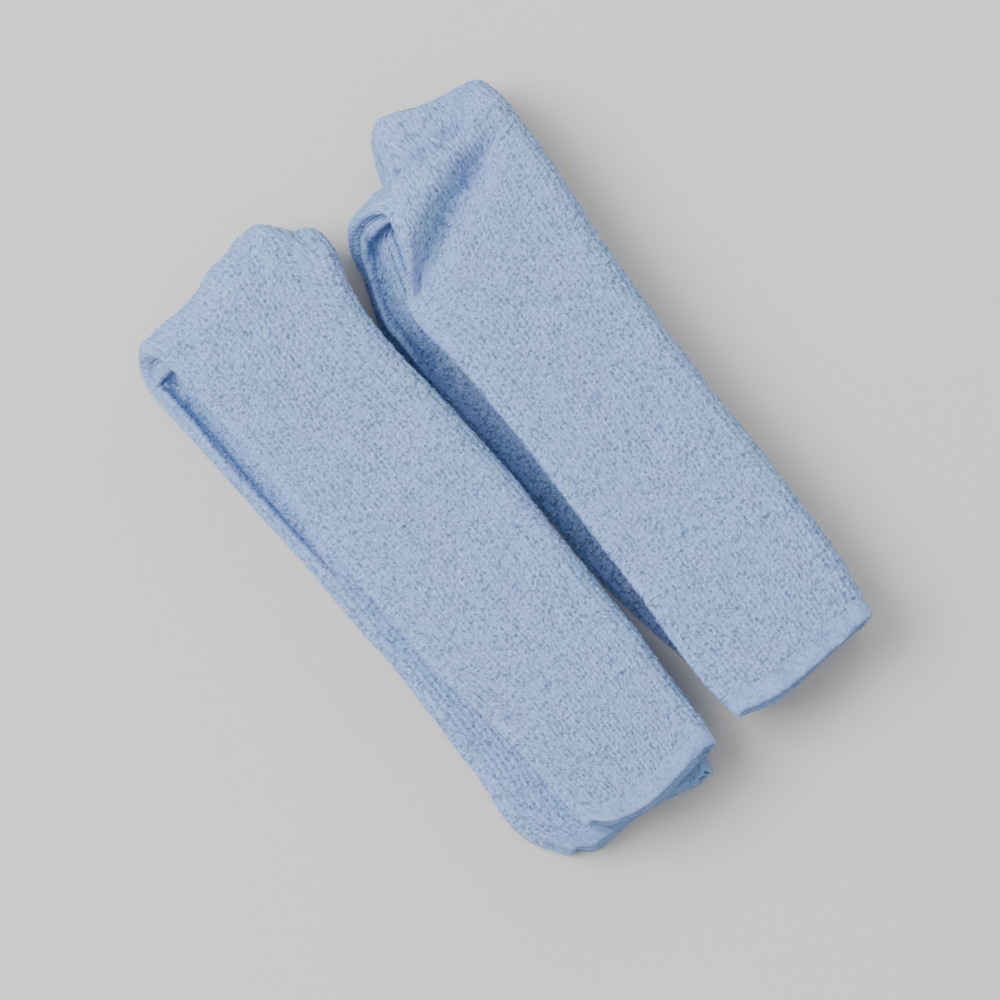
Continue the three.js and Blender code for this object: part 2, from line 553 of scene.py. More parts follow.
@dataclass(frozen=True)
class PlyRoute:
    """How a sheet runs through the six plies of its folded strip.

    Ply 0 lies next to the other half of the bundle and ply 5 outside. One third of the sheet goes
    in along ply 4 and back along ply 1, the middle third goes round everything along plies 0 and
    5, and the last third goes in along ply 3 and back along ply 2.

    pitch is the height of one ply, gap the space next to the other half and nominal_line the
    straight width of a ply. fine, medium and coarse are distances between lines. ledge is the
    width of the lower half that shows beside the upper one, lip that of the edges that show.
    free_edge is where the sheet's last edge lies, and tuck how far the sheet reaches under a hem.
    """

    pitch: float = 2.0 * MM
    gap: float = 1.2 * MM
    half_thickness: float = 0.8 * MM
    nominal_line: float = 54.0 * MM
    fine: float = 0.42 * MM
    coarse: float = 6.0 * MM
    medium: float = 1.4 * MM
    ledge: float = 22.0 * MM
    lip: float = 5.0 * MM
    free_edge: float = -1.2 * MM
    tuck: float = 0.7 * MM

    PLIES = 6
    CORD_REACH = {0: (15 * MM, 4 * MM), 5: (2 * MM, 2 * MM)}  # of a ply's cords, and their fade
    PLAIN_REACH = (9 * MM, 4 * MM)                            # the same for the other plies
    TURN_CORD = {3: 0.45}  # how strong the cords are round the fold to a ply, where it isn't 1
    BACK_STEP = 10         # the back has one in so many of the closest lines,
    BACK_TURN_STEP = 3     # or of those round a fold
    TURN_STEPS = 6         # fewest lines round a fold

    @property
    def open_inset(self) -> float:
        """From the strip's open side to the centre of its folds."""
        return self.pitch + self.half_thickness

    @property
    def folded_inset(self) -> float:
        """From the strip's folded side to the centre of its folds."""
        return self.pitch * (self.PLIES - 1) / 2 + self.half_thickness

    def height(self, ply: float) -> float:
        """Height of a ply's middle above the plane between the halves."""
        return self.gap + self.pitch * (ply + 0.5)

    def columns(self) -> Columns:
        """Works out the lines of the whole sheet, from one free edge to the other."""
        made = Columns()
        lip = self.lip / self.nominal_line
        ledge = self.ledge / self.nominal_line
        tucked = (HEM_WIDTH - self.tuck) / self.nominal_line
        first, last = self.free_edges
        self._line(made, 4, first + tucked, 1.0, self.coarse, Zone.HIDDEN)
        self._turn(made, End.FOLDED, 4, 1, self.medium, Zone.HIDDEN)
        self._line(made, 1, 1.0, lip, self.coarse, Zone.HIDDEN)
        self._line(made, 1, lip, 0.0, self.fine, Zone.FULL)
        self._turn(made, End.OPEN, 1, 0, self.fine, Zone.FULL)
        self._line(made, 0, 0.0, ledge, self.fine, Zone.LEDGE)
        self._line(made, 0, ledge, 1.0 - lip, self.medium, Zone.INNER)
        self._line(made, 0, 1.0 - lip, 1.0, self.fine, Zone.FULL)
        self._turn(made, End.FOLDED, 0, 5, self.fine, Zone.FULL)
        self._line(made, 5, 1.0, 0.0, self.fine, Zone.TOP)
        self._turn(made, End.OPEN, 5, 3, self.fine, Zone.FULL)
        self._line(made, 3, 0.0, lip, self.fine, Zone.FULL)
        self._line(made, 3, lip, 1.0, self.coarse, Zone.HIDDEN)
        self._turn(made, End.FOLDED, 3, 2, self.medium, Zone.HIDDEN)
        self._line(made, 2, 1.0, last + tucked, self.coarse, Zone.HIDDEN)
        return made

    @property
    def free_edges(self) -> tuple[float, float]:
        """Shares of the sheet's two free edges, on plies 4 and 2."""
        last = self.free_edge / self.nominal_line
        return last + 2 * self.pitch / self.nominal_line, last

    def edge_columns(self, ply: int, step: float) -> Columns:
        """Works out the lines of the hem on a free edge.

        Args:
            ply: The ply that ends in it, 4 or 2.
            step: Distance between lines.

        Returns:
            The lines.
        """
        made = Columns()
        width = HEM_WIDTH / self.nominal_line
        first, last = self.free_edges
        if ply == 4:
            self._line(made, ply, first, first + width, step, Zone.FULL)
        else:
            self._line(made, ply, last + width, last, step, Zone.FULL)
        return made

    def _line(
        self, made: Columns, ply: int, start: float, end: float, step: float, zone: Zone
    ) -> None:
        """Adds a straight stretch of one ply.

        Args:
            made: Where the lines go.
            ply: The ply.
            start: Share of the way across where the stretch starts.
            end: The same where it ends.
            step: Distance between lines.
            zone: How closely it is modelled.
        """
        length = abs(end - start) * self.nominal_line
        steps = max(1, round(length / step))
        facing = -1.0 if end > start else 1.0
        first = made.place[-1] if made.place else 0.0
        reach, fade = self.CORD_REACH.get(ply, self.PLAIN_REACH)
        for i in range(1 if made.place else 0, steps + 1):
            share = blend_between(start, end, i / steps)
            cord = float(1.0 - ramp(share * self.nominal_line, reach - fade, reach))
            entry = (share, 0.0, self.height(ply), 0.0, facing, first + length * i / steps, cord)
            made.add(entry, zone, i == steps or step > self.fine or i % self.BACK_STEP == 0)

    def _turn(
        self, made: Columns, end: End, ply: int, to_ply: int, step: float, zone: Zone
    ) -> None:
        """Adds a half circle from one ply to another.

        Args:
            made: Where the lines go.
            end: The side of the strip that it turns at.
            ply: The ply that it leaves.
            to_ply: The ply that it goes to.
            step: Distance between lines.
            zone: How closely it is modelled.
        """
        middle = self.height((ply + to_ply) / 2)
        rising = 1.0 if to_ply > ply else -1.0
        facing = rising * end.value
        radius = abs(to_ply - ply) * self.pitch / 2
        length = math.pi * radius
        steps = max(self.TURN_STEPS, round(length / step))
        share = 0.0 if end is End.OPEN else 1.0
        cord = self.TURN_CORD.get(to_ply, 1.0) if end is End.OPEN else 0.0
        first = made.place[-1]
        for i in range(1, steps + 1):
            angle = math.pi * i / steps
            side = end.value * math.sin(angle)
            up = -rising * math.cos(angle)
            entry = (
                share,
                radius * side,
                middle + radius * up,
                facing * side,
                facing * up,
                first + length * i / steps,
                cord,
            )
            made.add(entry, zone, i % self.BACK_TURN_STEP == 0 or i == steps)


# ---------------------------------------------------------------------------- the folded bundle


@dataclass(frozen=True)
class Half:
    """Where one half of a bundle lies.

    left and right are its sides, from 0 at the hem to 1 at the bend. end is how far the hem
    reaches, from 0 on the open side to 1 on the folded side.
    """

    left: Curve
    right: Curve
    end: Curve


@dataclass(frozen=True)
class Rows:
    """Lines across the sheet, from the lower half's hem round the bend to the upper half's.

    along is 0 at a hem and 1 at the bend, turn is the angle round the bend, and place is the
    distance along the flat sheet. bend_from and bend_to are the first and last rows of the bend.
    """

    along: Array
    turn: Array
    place: Array
    bend_from: int
    bend_to: int

    FEWEST = 6                                  # rows round a bend or over a hem
    CROWDED = (0.57 * math.pi, 0.10 * math.pi)  # middle and reach of the crowded turn
    SAMPLES = 400                               # of the turn, to spread the rows by
    GATHERED = 0.09                             # share of a hem that its edge rows move outwards
    SMALL = 40                                  # so few rows are all kept

    @staticmethod
    def whole(
        straight: float, bend: float, step: float, start: float = 0.0, crowd: float = 0.0
    ) -> Rows:
        """Rows a step apart over both halves.

        Args:
            straight: Length of one half up to the bend.
            bend: Length round the bend, on the outermost ply.
            step: Distance between two rows.
            start: How far from the hem's end the first row lies.
            crowd: How much closer the rows are where the bend is set back.

        Returns:
            The rows.
        """
        runs = max(2, round((straight - start) / step))
        turns = max(Rows.FEWEST, round(bend / step))
        down = np.linspace(start / straight, 1.0, runs + 1)
        even = np.linspace(0.0, math.pi, Rows.SAMPLES)
        share = np.cumsum(1.0 + crowd * hump(even, *Rows.CROWDED))
        share = (share - share[0]) / (share[-1] - share[0])
        angles = np.interp(np.linspace(0.0, 1.0, turns + 1)[1:-1], share, even)
        along = np.concatenate([down, np.ones(len(angles)), down[::-1]])
        turn = np.concatenate([np.zeros(runs + 1), angles, np.full(runs + 1, math.pi)])
        place = np.concatenate(
            [
                down * straight,
                straight + bend * np.arange(1, turns) / turns,
                2 * straight + bend - down[::-1] * straight,
            ]
        )
        return Rows(along, turn, place, runs, runs + turns)

    @staticmethod
    def hem(straight: float, bend: float, width: float, step: float, part: Part) -> Rows:
        """Rows over the hem at the end of one half, closer together at its two edges.

        Args:
            straight: Length of one half up to the bend.
            bend: Length round the bend, on the outermost ply.
            width: Width of the hem.
            step: Mean distance between two rows.
            part: The half that it is on.

        Returns:
            The rows.
        """
        count = max(Rows.FEWEST, round(width / step))
        spread = np.linspace(0.0, 1.0, count + 1)
        down = width * (spread - Rows.GATHERED * np.sin(2 * math.pi * spread)) / straight
        if part is Part.LOWER:
            return Rows(down, np.zeros(count + 1), down * straight, count, count)
        up = down[::-1]
        place = 2 * straight + bend - up * straight
        return Rows(up, np.full(count + 1, math.pi), place, 0, 0)

    def of_zone(self, zone: Zone) -> Array:
        """Picks the rows of a zone.

        Args:
            zone: How closely it is modelled.

        Returns:
            Numbers of the rows that it keeps, always with the ends of the bend.
        """
        count = len(self.along)
        index = np.arange(count)
        lower = index < self.bend_from
        bend = (index >= self.bend_from) & (index <= self.bend_to)
        upper = index > self.bend_to
        steps = {
            Zone.FULL: (1, 1, 1),
            Zone.TOP: (4, 1, 1),
            Zone.LEDGE: (1, 3, 3),
            Zone.INNER: (3, 3, 3),
            Zone.HIDDEN: (12, 4, 12),
        }[zone]
        if count < self.SMALL:
            return index
        keep = np.zeros(count, bool)
        for part, step in zip((lower, bend, upper), steps, strict=True):
            keep |= part & (index % step == 0)
        keep[[0, self.bend_from, self.bend_to, count - 1]] = True
        return index[keep]


@dataclass(frozen=True)
class Pile:
    """Loops of yarn that stand in rows along the sheet.

    row is the distance between rows and pitch between loops in a row. height is how far a loop
    stands out and depth how far the pits between sink in. cord_row, cord_height and cord_depth
    are the same for rows that are pulled into cords.
    """

    row: float = 1.85 * MM
    pitch: float = 1.35 * MM
    height: float = 0.72 * MM
    depth: float = 0.30 * MM
    cord_row: float = 2.5 * MM
    cord_height: float = 1.55 * MM
    cord_depth: float = 0.85 * MM
    seed: int = 5

    CELLS = (220, 280)       # of the table that tells the loops apart
    DRIFT = 0.25             # how far the rows wander, in rows
    JITTER = (0.11, 0.26)    # how far a loop is from its place, in rows and in pitches
    LEAN = 0.25              # how far a loop leans over
    REACH = (0.56, 0.82)     # how far a loop reaches, in rows and in pitches
    UNEVEN = 0.28            # how much lower the lowest loops are
    PATCHY = 0.18            # how much the height changes over the cloth

    def loops(self, place: Array, along: Array) -> Array:
        """Works out the loops.

        Args:
            place: Distances across the flat sheet.
            along: Distances along it.

        Returns:
            How high the pile stands there, from 0 in a pit to 1 on a loop.
        """
        rng = np.random.default_rng(self.seed)
        table = rng.uniform(-1.0, 1.0, (5, *self.CELLS))
        drift = SoftNoise(self.seed + 1, (14 * MM, 9 * MM))
        u = place / self.row + self.DRIFT * drift(place, along)
        v = along / self.pitch
        cell_u = np.floor(u).astype(int)
        best = np.zeros(np.shape(place))
        for du in (-1, 0, 1):
            cu = cell_u + du
            row_phase = table[0, cu % self.CELLS[0], 0] * 0.5 + 0.5 * (cu % 2)
            cell_v = np.floor(v - row_phase).astype(int)
            for dv in (-1, 0, 1):
                cv = cell_v + dv
                jitter = table[:, cu % self.CELLS[0], cv % self.CELLS[1]]
                along_row = v - row_phase - (cv + 0.5 + self.JITTER[1] * jitter[1])
                across = u - (cu + 0.5 + self.JITTER[0] * jitter[2])
                across = across - self.LEAN * jitter[3] * along_row
                reach = (across / self.REACH[0]) ** 2 + (along_row / self.REACH[1]) ** 2
                lump = np.clip(1.0 - reach, 0.0, None)
                lump = lump * (1.0 - self.UNEVEN + self.UNEVEN * jitter[4])
                best = np.maximum(best, lump)
        return best

    def offset(self, place: Array, along: Array) -> tuple[Array, Array]:
        """Works out the looped surface.

        Args:
            place: Distances across the flat sheet.
            along: Distances along it.

        Returns:
            The pile from 0 to 1 and how far its surface is from the middle level.
        """
        loops = self.loops(place, along)
        patch = SoftNoise(self.seed + 2, (9 * MM, 12 * MM))(place, along)
        return loops, loops * self.height * (1.0 + self.PATCHY * patch) - self.depth

    def cord(self, place: Array, along: Array, drift: SoftNoise) -> tuple[Array, Array]:
        """Works out rows pulled tight over a fold: smooth cords instead of loops.

        Args:
            place: Distances across the flat sheet.
            along: Distances along it.
            drift: How the cords wander along their length.

        Returns:
            The cords from 0 to 1 and how far their surface is from the middle level.
        """
        u = place / self.cord_row + self.DRIFT * drift(along)
        beside = 2.0 * (u - np.floor(u)) - 1.0
        ridge = np.sqrt(np.clip(1.0 - 0.97 * beside**2, 0.0, 1.0))
        beads = 0.07 * np.sin(along / self.pitch * 2 * math.pi + 2.6 * np.floor(u))
        return 0.05 + 0.8 * ridge + beads, (ridge + beads) * self.cord_height - self.cord_depth


class Shell:
    """A closed skin built from lines of points and the polygons between them."""

    def __init__(self) -> None:
        """Starts empty."""
        self.polygons: list[Array] = []
        self.quads: list[Array] = []

    def strip(self, first: Array, second: Array, rows_a: Array, rows_b: Array) -> None:
        """Closes the gap between two neighbouring lines.

        Args:
            first: Vertex numbers of one line.
            second: Vertex numbers of the next line.
            rows_a: The rows that the first line has.
            rows_b: The rows that the second line has.
        """
        if len(rows_a) == len(rows_b):
            corners = (first[:-1], second[:-1], second[1:], first[1:])
            self.quads.append(np.stack(corners, axis=1))
            return
        common, at_a, at_b = np.intersect1d(rows_a, rows_b, return_indices=True)
        for k in range(len(common) - 1):
            side_a = first[at_a[k] : at_a[k + 1] + 1]
            side_b = second[at_b[k] : at_b[k + 1] + 1]
            self.polygons.append(np.concatenate([side_a[:1], side_b, side_a[:0:-1]]))

    def face(self, corners: Sequence[int]) -> None:
        """Adds one polygon."""
        self.polygons.append(np.asarray(corners))

    def tube(self, first: int, rings: int, sides: int) -> None:
        """Adds a closed tube.

        Args:
            first: Number of its first point; the others follow, ring by ring.
            rings: How many rings of points it has.
            sides: Points in a ring.
        """
        grid = first + np.arange(rings * sides).reshape(rings, sides)
        turned = np.roll(grid, -1, axis=1)
        corners = (grid[:-1], grid[1:], turned[1:], turned[:-1])
        self.quads.append(np.stack(corners, axis=-1).reshape(-1, 4))
        self.face(grid[0])
        self.face(grid[-1][::-1])

    def mesh(self, name: str, points: Array) -> bpy.types.Mesh:
        """Makes the mesh.

        Args:
            name: Its name.
            points: One row of x, y and z for each point.

        Returns:
            The mesh.
        """
        made = bpy.data.meshes.new(name)
        quads = np.concatenate(self.quads)
        sizes = np.concatenate([np.full(len(quads), 4), [len(p) for p in self.polygons]])
        loops = np.concatenate([quads.ravel(), *self.polygons])
        made.vertices.add(len(points))
        made.vertices.foreach_set("co", points.astype(np.float32).ravel())
        made.loops.add(len(loops))
        made.loops.foreach_set("vertex_index", loops.astype(np.int32))
        made.polygons.add(len(sizes))
        starts = np.concatenate([[0], np.cumsum(sizes)[:-1]])
        made.polygons.foreach_set("loop_start", starts.astype(np.int32))
        made.polygons.foreach_set("use_smooth", np.ones(len(sizes), bool))
        made.update(calc_edges=True)
        made.validate()
        return made


@dataclass(frozen=True)
class Bundle:
    """The shape of one folded cloth: where every point of its sheet lies.

    bend_centre is where the bend starts and middle the height of the plane between the halves.
    fan is how far the lowest ply's hem passes the highest one's, from 0 on the open side to 1 on
    the folded side. slack is spare length round the bend, and crowd how much closer the rows are
    where it is set back. The methods that say how the bundle stands open, is set back and is
    creased return zeros here: each cloth has its own.
    """

    lower: Half
    upper: Half
    bend_centre: float
    middle: float
    route: PlyRoute
    fan: Curve
    seed: int
    slack: float = 0.0
    crowd: float = 0.0

    LOWER_HOLLOW = 0.35              # share of the hollow that the lower half has
    UNEVEN_END = 1.0 * MM            # how ragged the plies' ends are on the open side
    WAVES = 0.45 * MM                # how high the top's waves are
    DRIFT = (0.55 * MM, 0.45 * MM)   # how far points wander across and along
    PRESSED = 0.6 * MM               # below this height the cloth is pressed flat
    SUNK = (12.7 * MM, 13.4 * MM)    # heights over which sinking fades out

    def hollow(self, share: Array, along: Array) -> Array:
        """How much further the halves stand apart than they have to."""
        return np.zeros(np.shape(share))

    def set_back(self, share: Array, turn: Array, level: Array) -> Array:
        """How far the bend stands back from its straight line, level being 1 on the outside."""
        return np.zeros(np.shape(share))

    def pinch(self, share: Array, turn: Array) -> Array:
        """What share of its distance from the middle the bend loses."""
        return np.zeros(np.shape(share))

    def lift(self, share: Array, turn: Array) -> Array:
        """How far the outside of the bend stands above its arc."""
        return np.zeros(np.shape(share))

    def sideways(self, share: Array, turn: Array) -> Array:
        """How far the bend leans to the right."""
        return np.zeros(np.shape(share))

    def relief(self, x: Array, y: Array) -> Array:
        """How far the top stands above or below its level."""
        return np.zeros(np.shape(x))

    def sink(self, x: Array, y: Array) -> Array:
        """What share of its height the lower half loses."""
        return np.zeros(np.shape(x))

    def place(
        self,
        line: tuple[Array, ...],
        row: tuple[Array, Array],
        offset: Array,
    ) -> Array:
        """Finds points of the sheet.

        Args:
            line: share, shift, out, across and outward of each point's line.
            row: along and turn of each point's row.
            offset: How far in front of the sheet's middle each point is.

        Returns:
            One row of x, y and z for each point.
        """
        share, shift, out, across, outward = line
        along, turn = row
        over = ease(turn / math.pi)
        reach = self.route.height(self.route.PLIES - 0.5)
        out = out + outward * offset
        hollow = self.hollow(share, along) * blend_between(self.LOWER_HOLLOW, 1.0, over)
        out = out + hollow * (1.0 - out / reach)
        out = out * (1.0 - self.pinch(share, turn))
        depth = 0.5 + np.where(turn < math.pi / 2, out, -out) / (2 * reach)
        end = blend_between(self.lower.end(share), self.upper.end(share), over)
        uneven = SoftNoise(self.seed + 5, (0.07, 0.6))(depth, share) * ramp(share, 0.0, 0.25)
        end = end - self.fan(share) * depth - self.UNEVEN_END * uneven
        y = blend_between(end, self.bend_centre, along)
        level = np.clip(out / reach, 0.0, 1.0)
        y = y - self.set_back(share, turn, level) * ramp(along, 0.72, 1.0) + out * np.sin(turn)
        left = blend_between(self.lower.left(along), self.upper.left(along), over)
        right = blend_between(self.lower.right(along), self.upper.right(along), over)
        near = left + self.route.open_inset
        far = right - self.route.folded_inset
        x = blend_between(near, far, share) + shift + across * offset
        x = x + self.sideways(share, turn) * ramp(along, 0.85, 1.0)
        z = self.middle - out * np.cos(turn) + self.lift(share, turn) * level
        return self._settle(x, y, z, reach)

    def _settle(self, x: Array, y: Array, z: Array, reach: float) -> Array:
        """Softens the finished shape and presses it flat where it rests.

        Args:
            x: Across the cloth, for each point.
            y: Along it.
            z: Height.
            reach: Height of one half.

        Returns:
            One row of x, y and z for each point.
        """
        high = np.clip((z - self.middle) / reach, 0.0, None)
        wide = SoftNoise(self.seed, (24 * MM, 31 * MM))
        narrow = SoftNoise(self.seed + 1, (11 * MM, 14 * MM))
        waves = wide(x, y) + 0.5 * narrow(x, y)
        z = z + high * (self.relief(x, y) + self.WAVES * waves)
        z = z * (1.0 - self.sink(x, y) * (1.0 - ramp(z, *self.SUNK)))
        drift_x = SoftNoise(self.seed + 2, (40 * MM, 19 * MM, 9 * MM))
        drift_y = SoftNoise(self.seed + 3, (15 * MM, 40 * MM, 9 * MM))
        x = x + self.DRIFT[0] * drift_x(x, y, z)
        y = y + self.DRIFT[1] * drift_y(x, y, z)
        low = self.PRESSED
        z = np.where(z < low, low * np.exp((np.minimum(z, low) - low) / low), z)
        return np.stack([x, y, z], axis=1)

    @property
    def straight(self) -> float:
        """Length of one half from its hem to the start of the bend."""
        share = np.linspace(0.0, 1.0, 5)
        ends = np.concatenate([self.lower.end(share), self.upper.end(share)])
        return float(self.bend_centre - ends.mean())

    @property
    def bend(self) -> float:
        """Length of the outermost ply round the bend."""
        return math.pi * self.route.height(self.route.PLIES - 1) + self.slack


class FirstBundle(Bundle):
    """The left cloth: a slack lip along its open side and a bend with soft lobes."""

    LIP = 3.6 * MM        # how far the lip stands open
    SHOULDER = 0.8 * MM   # how far the top rises by the bend
    HEM_DROP = 0.9 * MM   # how far it drops to the hem
    TRENCH = 0.5          # share of its height that the trench loses

    # How far back the bend stands, from the open side to the folded one.
    OUTLINE = Curve(
        (
            (0, 5.0), (0.1, 4.0), (0.3, 3.4), (0.38, 2.6), (0.52, -0.3), (0.62, -0.8),
            (0.76, -2.8), (0.88, -2.0), (1, 6.5),
        )
    )

    def hollow(self, share: Array, along: Array) -> Array:
        """Opens the lip of the upper half near the bend."""
        lip = hump(share, 0.0, 0.22) * ramp(along, 0.12, 0.62)
        return self.LIP * lip * (1.0 - ramp(along, 0.86, 0.98))

    def set_back(self, share: Array, turn: Array, level: Array) -> Array:
        """Gives the bend its lobes."""
        return self.OUTLINE(share)

    def relief(self, x: Array, y: Array) -> Array:
        """Raises the shoulder by the bend a little and lowers the hem."""
        shoulder = self.SHOULDER * hump(y, 70 * MM, 22 * MM)
        return shoulder - self.HEM_DROP * hump(y, -92 * MM, 14 * MM)

    def sink(self, x: Array, y: Array) -> Array:
        """Presses a trench in the lower half beside the upper one's edge."""
        edge = self.upper.left((y + 99 * MM) / (192 * MM)) - 1.6 * MM
        along = ramp(y, 5 * MM, 45 * MM) * (1.0 - ramp(y, 84 * MM, 92 * MM))
        return self.TRENCH * along * hump(x, edge, 2.2 * MM)


class SecondBundle(Bundle):
    """The right cloth: its bend is set back on the open side, with a lobe behind a crease."""

    EYE = 4.2 * MM                     # how far the open end of the bend stands open
    LIP = 1.2 * MM                     # the same for the rest of the open side
    PINCH = 0.62                       # how much the bend is drawn in below the ridge
    LOBE = 5.0 * MM                    # how far the lobe is puffed up
    LEAN = 3.5 * MM                    # how far the open end of the bend leans over
    CREASE_START = (10.3 * MM, 59.5 * MM)
    CREASE_WAY = (0.897, 0.442)        # direction that the crease runs in
    CREASE_BOW = (2.0 * MM, 50 * MM)   # how far it bows, and over what length
    CREASE = (7.4 * MM, 4.0 * MM)      # its depth and half width
    ROLL = 2.6 * MM                    # how high the roll behind it is
    CORNER = 3.0 * MM                  # how far the corner before it drops
    HEM_DROP = 0.9 * MM                # how far the top drops to the hem
    SLOPE = 0.9                        # share of its height that the open side loses
    SLANT = 1.2                        # how aslant that starts
    TRENCH = 0.5                       # share of its height that the trench loses

    # How far back the lower and the upper part of the bend stand, from the open side to the folded
    # one, and how far forward the wall between them and the top comes.
    LOW = Curve(
        (
            (0, 13.5), (0.14, 12.0), (0.29, 9.0), (0.36, -1.0), (0.43, -5.0), (0.55, -4.2),
            (0.7, -1.2), (0.85, 1.0), (1, 2.4),
        )
    )
    HIGH = Curve(
        ((0, 13.5), (0.2, 13.5), (0.38, 18), (0.6, 18.5), (0.75, 15), (0.9, 5), (1, 4.5))
    )
    WALL = Curve(((0, 0), (0.15, 3), (0.33, 8), (0.7, 8), (0.92, 0), (1, 0)))

    def hollow(self, share: Array, along: Array) -> Array:
        """Opens an eye at the open end of the bend."""
        eye = self.EYE * hump(share, 0.0, 0.24) * ramp(along, 0.84, 0.98)
        return eye + self.LIP * hump(share, 0.0, 0.3) * ramp(along, 0.3, 0.7)

    def set_back(self, share: Array, turn: Array, level: Array) -> Array:
        """Sets the open side back, and the upper part of the bend nearly all the way across."""
        over = ramp(turn, 0.50 * math.pi, 0.64 * math.pi)
        back = blend_between(self.LOW(share), self.HIGH(share), over)
        return back - self.WALL(share) * level**2 * ramp(turn, 0.62 * math.pi, 0.84 * math.pi)

    def pinch(self, share: Array, turn: Array) -> Array:
        """Draws the bend in between the lobe and the ridge above it."""
        run = ramp(share, 0.18, 0.36) * (1.0 - ramp(share, 0.70, 0.90))
        return self.PINCH * run * hump(turn, 0.625 * math.pi, 0.08 * math.pi)

    def lift(self, share: Array, turn: Array) -> Array:
        """Puffs up the lobe, so that a valley lies between it and the ridge."""
        run = ramp(share, 0.30, 0.44) * (1.0 - ramp(share, 0.66, 0.88))
        return self.LOBE * run * hump(turn, 0.565 * math.pi, 0.065 * math.pi)

    def sideways(self, share: Array, turn: Array) -> Array:
        """Leans the open end of the bend over."""
        return self.LEAN * (1.0 - share) * hump(turn, 0.80 * math.pi, 0.20 * math.pi)

    def relief(self, x: Array, y: Array) -> Array:
        """Presses a long crease across the top and raises the roll behind it.

        Args:
            x: Across the cloth, for each point.
            y: Along it.

        Returns:
            How far the top stands above or below its level.
        """
        way_x, way_y = self.CREASE_WAY
        from_x, from_y = x - self.CREASE_START[0], y - self.CREASE_START[1]
        from_start = from_x * way_x + from_y * way_y
        bow, length = self.CREASE_BOW
        beside = -from_x * way_y + from_y * way_x - bow * np.sin(from_start / length * math.pi)
        run = ramp(from_start, -6 * MM, 9 * MM) * (1.0 - ramp(from_start, 40 * MM, 60 * MM))
        depth, width = self.CREASE
        crease = -depth * run * np.exp(-np.abs(beside / width) ** 1.6)
        roll = self.ROLL * run * hump(beside, 9.0 * MM, 5.5 * MM)
        corner = -self.CORNER * hump(x, 4 * MM, 7 * MM) * hump(y, 62 * MM, 16 * MM)
        return crease + roll + corner - self.HEM_DROP * hump(y, -94 * MM, 14 * MM)

    def sink(self, x: Array, y: Array) -> Array:
        """Lets the open side slope down between the two cloths.

        Args:
            x: Across the cloth, for each point.
            y: Along it.

        Returns:
            What share of its height the lower half loses.
        """
        aside = 1.0 - ramp(x, 6 * MM, 14 * MM)
        slope = self.SLOPE * aside * (1.0 - ramp(y - self.SLANT * x, 34 * MM, 54 * MM))
        edge = self.upper.left((y + 98 * MM) / (191 * MM)) - 2.0 * MM
        along = ramp(y, 44 * MM, 60 * MM) * (1.0 - ramp(y, 82 * MM, 90 * MM))
        return slope + self.TRENCH * along * hump(x, edge, 2.0 * MM)


def stamp(mesh: bpy.types.Mesh, name: str, values: Array) -> None:
    """Stores a number or a vector for each point of a mesh.

    Args:
        mesh: The mesh.
        name: What the attribute is called.
        values: One number, or one row of three, for each point.
    """
    kind, field_name = ("FLOAT_VECTOR", "vector") if values.ndim == 2 else ("FLOAT", "value")
    made = mesh.attributes.new(name, kind, "POINT")
    made.data.foreach_set(field_name, values.astype(np.float32).ravel())


def lay_out(mesh: bpy.types.Mesh, flat: Array, size: tuple[float, float]) -> None:
    """Gives a mesh the flat sheet as its UV map, the back beside the front.

    Args:
        mesh: The mesh.
        flat: Place across, distance along and side of each point on the flat sheet.
        size: Width and length of the flat sheet.
    """
    loops = np.zeros(len(mesh.loops), np.int32)
    mesh.loops.foreach_get("vertex_index", loops)
    border = 0.01
    inner = 1.0 - 2 * border
    u = (flat[:, 0] / size[0] * inner + border + (flat[:, 2] > 0)) / 2
    v = flat[:, 1] / size[1] * inner + border
    uv = np.stack([u, v], axis=1)[loops]
    layer = mesh.uv_layers.new(name="OFBake")
    layer.uv.foreach_set("vector", uv.astype(np.float32).ravel())


def add_object(mesh: bpy.types.Mesh, material: Material) -> bpy.types.Object:
    """Puts a mesh in the scene.

    Args:
        mesh: The mesh.
        material: Its finish.

    Returns:
        The new object, with the mesh's name.
    """
    mesh.materials.append(material)
    made = bpy.data.objects.new(mesh.name, mesh)
    bpy.context.scene.collection.objects.link(made)
    return made


